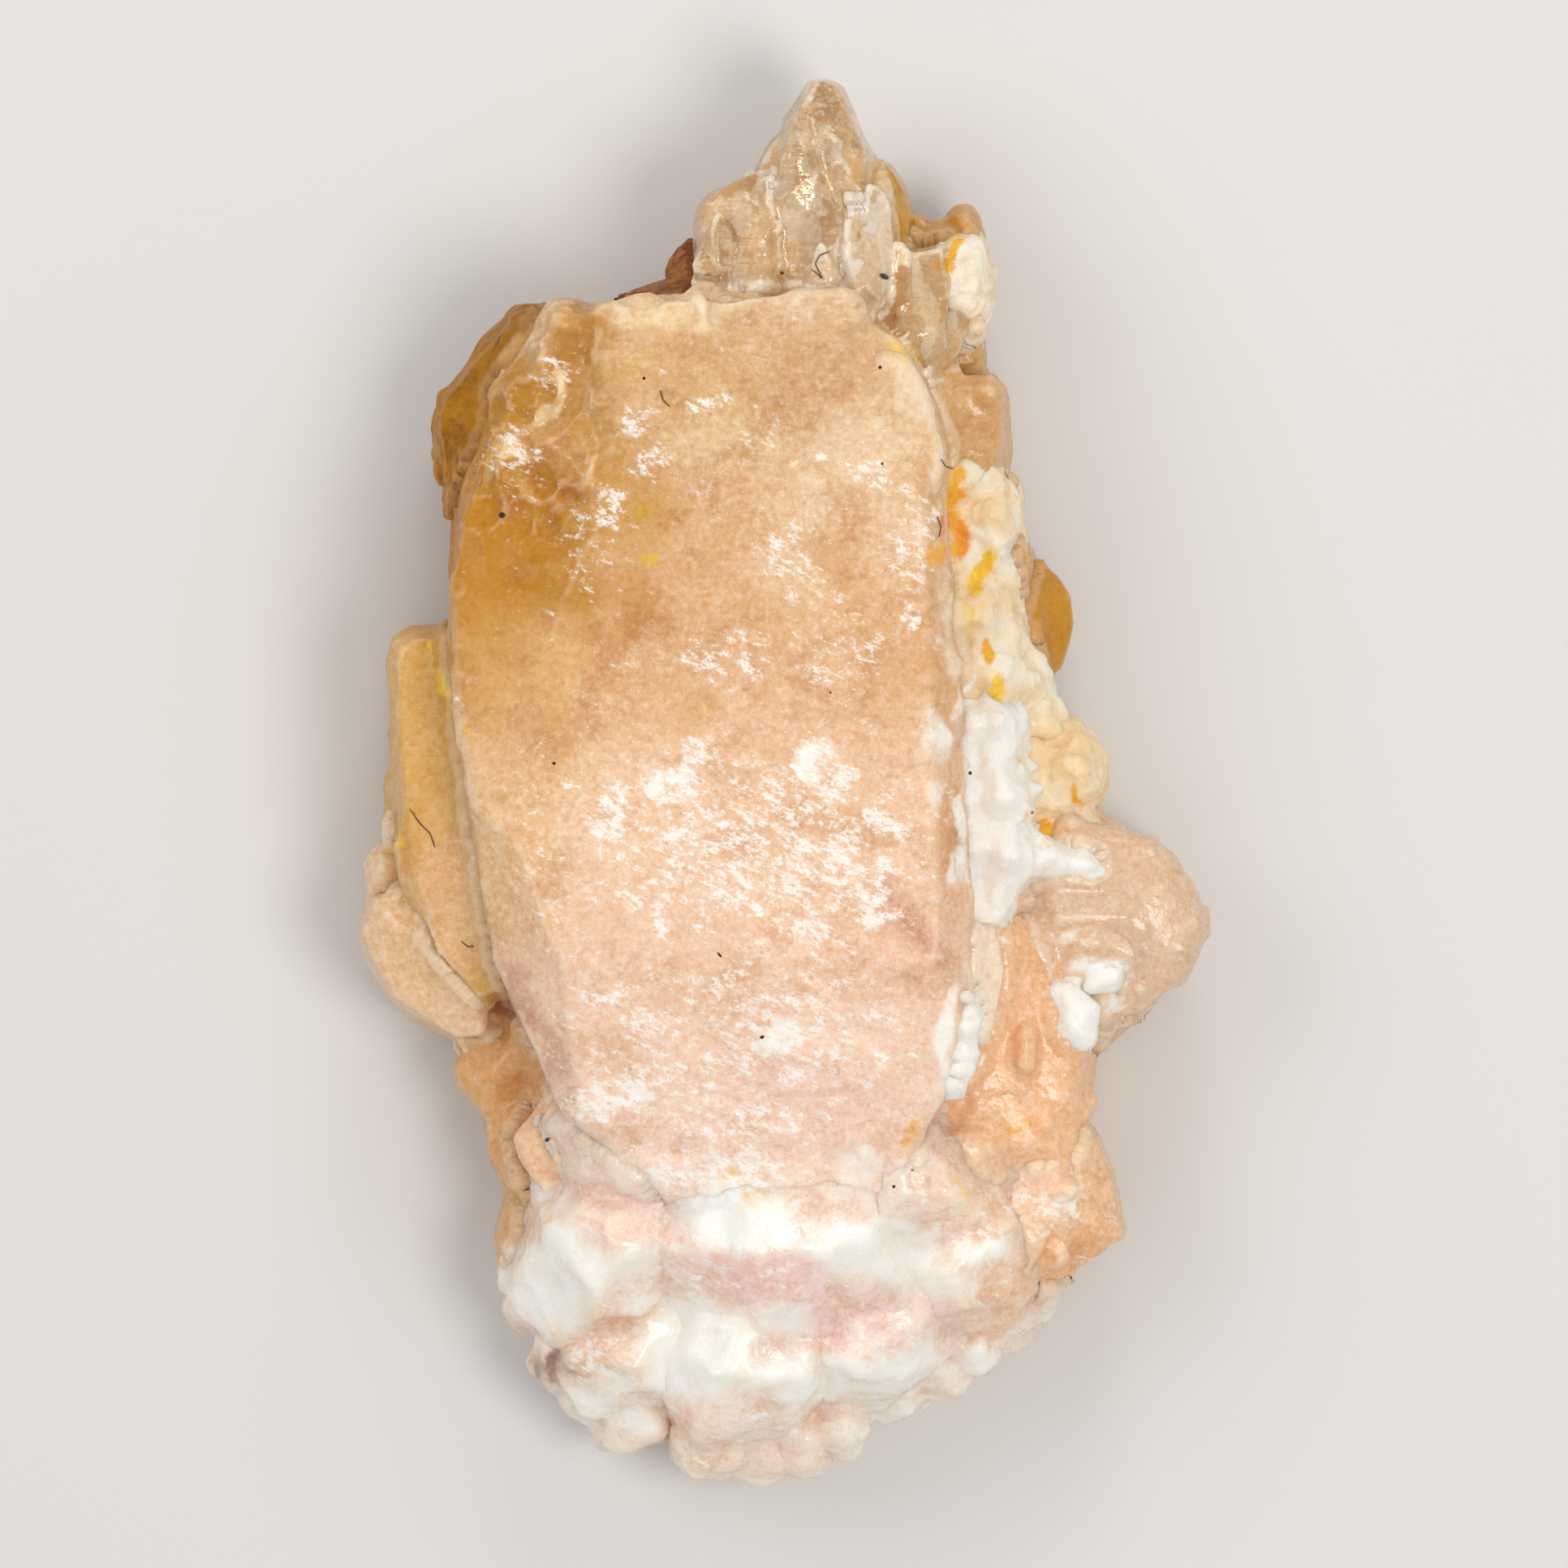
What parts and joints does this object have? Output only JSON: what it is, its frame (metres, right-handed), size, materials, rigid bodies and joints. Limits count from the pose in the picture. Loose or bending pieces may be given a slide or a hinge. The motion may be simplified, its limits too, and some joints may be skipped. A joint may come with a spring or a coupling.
{
  "type": "rose quartz crystal cluster",
  "caption": "Palm-size cluster of cloudy rose quartz with a big flat-faced crystal, a clear point at one end, a vein of white feldspar and iron stains, lying on its flat back.",
  "frame": {"origin": "middle of the outline seen from the front, on the flat back that the cluster lies on", "axes": "+Y towards the clear point, +Z out of the big crystal's front face, away from the flat back, +X towards the clear lobe"},
  "size_m": [0.037, 0.061, 0.0158],
  "materials": {
    "rose_quartz": "glossy, cloudy",
    "pale_rose_quartz": "glossy, milky",
    "honey_quartz": "glossy, cloudy",
    "amber_quartz": "glossy, iron stained",
    "stained_rock": "rough, iron stained",
    "clear_quartz": "clear, glossy",
    "milky_quartz": "satin, milky",
    "feldspar": "satin, opaque",
    "peach_quartz": "glossy, cloudy"
  },
  "bodies": {
    "root": {"main_crystal": "rose_quartz", "clear_point": "clear_quartz", "front_column_crystals": "clear_quartz", "shoulder_crystals": "clear_quartz", "clear_block": "clear_quartz", "golden_shoulder_crystal": "honey_quartz", "upper_feldspar": "feldspar", "honey_knobs": "amber_quartz", "left_slab": "honey_quartz", "left_flake": "pale_rose_quartz", "amber_plate": "amber_quartz", "stained_ridge": "stained_rock", "feldspar_blade": "feldspar", "peach_blade": "peach_quartz", "white_vein": "feldspar", "feldspar_vein": "feldspar", "honey_block": "honey_quartz", "feldspar_knob": "feldspar", "pink_side_crystal": "peach_quartz", "golden_back_crystal": "amber_quartz", "milky_block": "milky_quartz", "clear_lobe": "pale_rose_quartz", "peach_body": "peach_quartz", "lobe_foot": "honey_quartz", "right_point_crystal": "peach_quartz", "peach_crystal": "peach_quartz", "left_crystals": "honey_quartz", "rose_base": "pale_rose_quartz"}
  },
  "joints": []
}
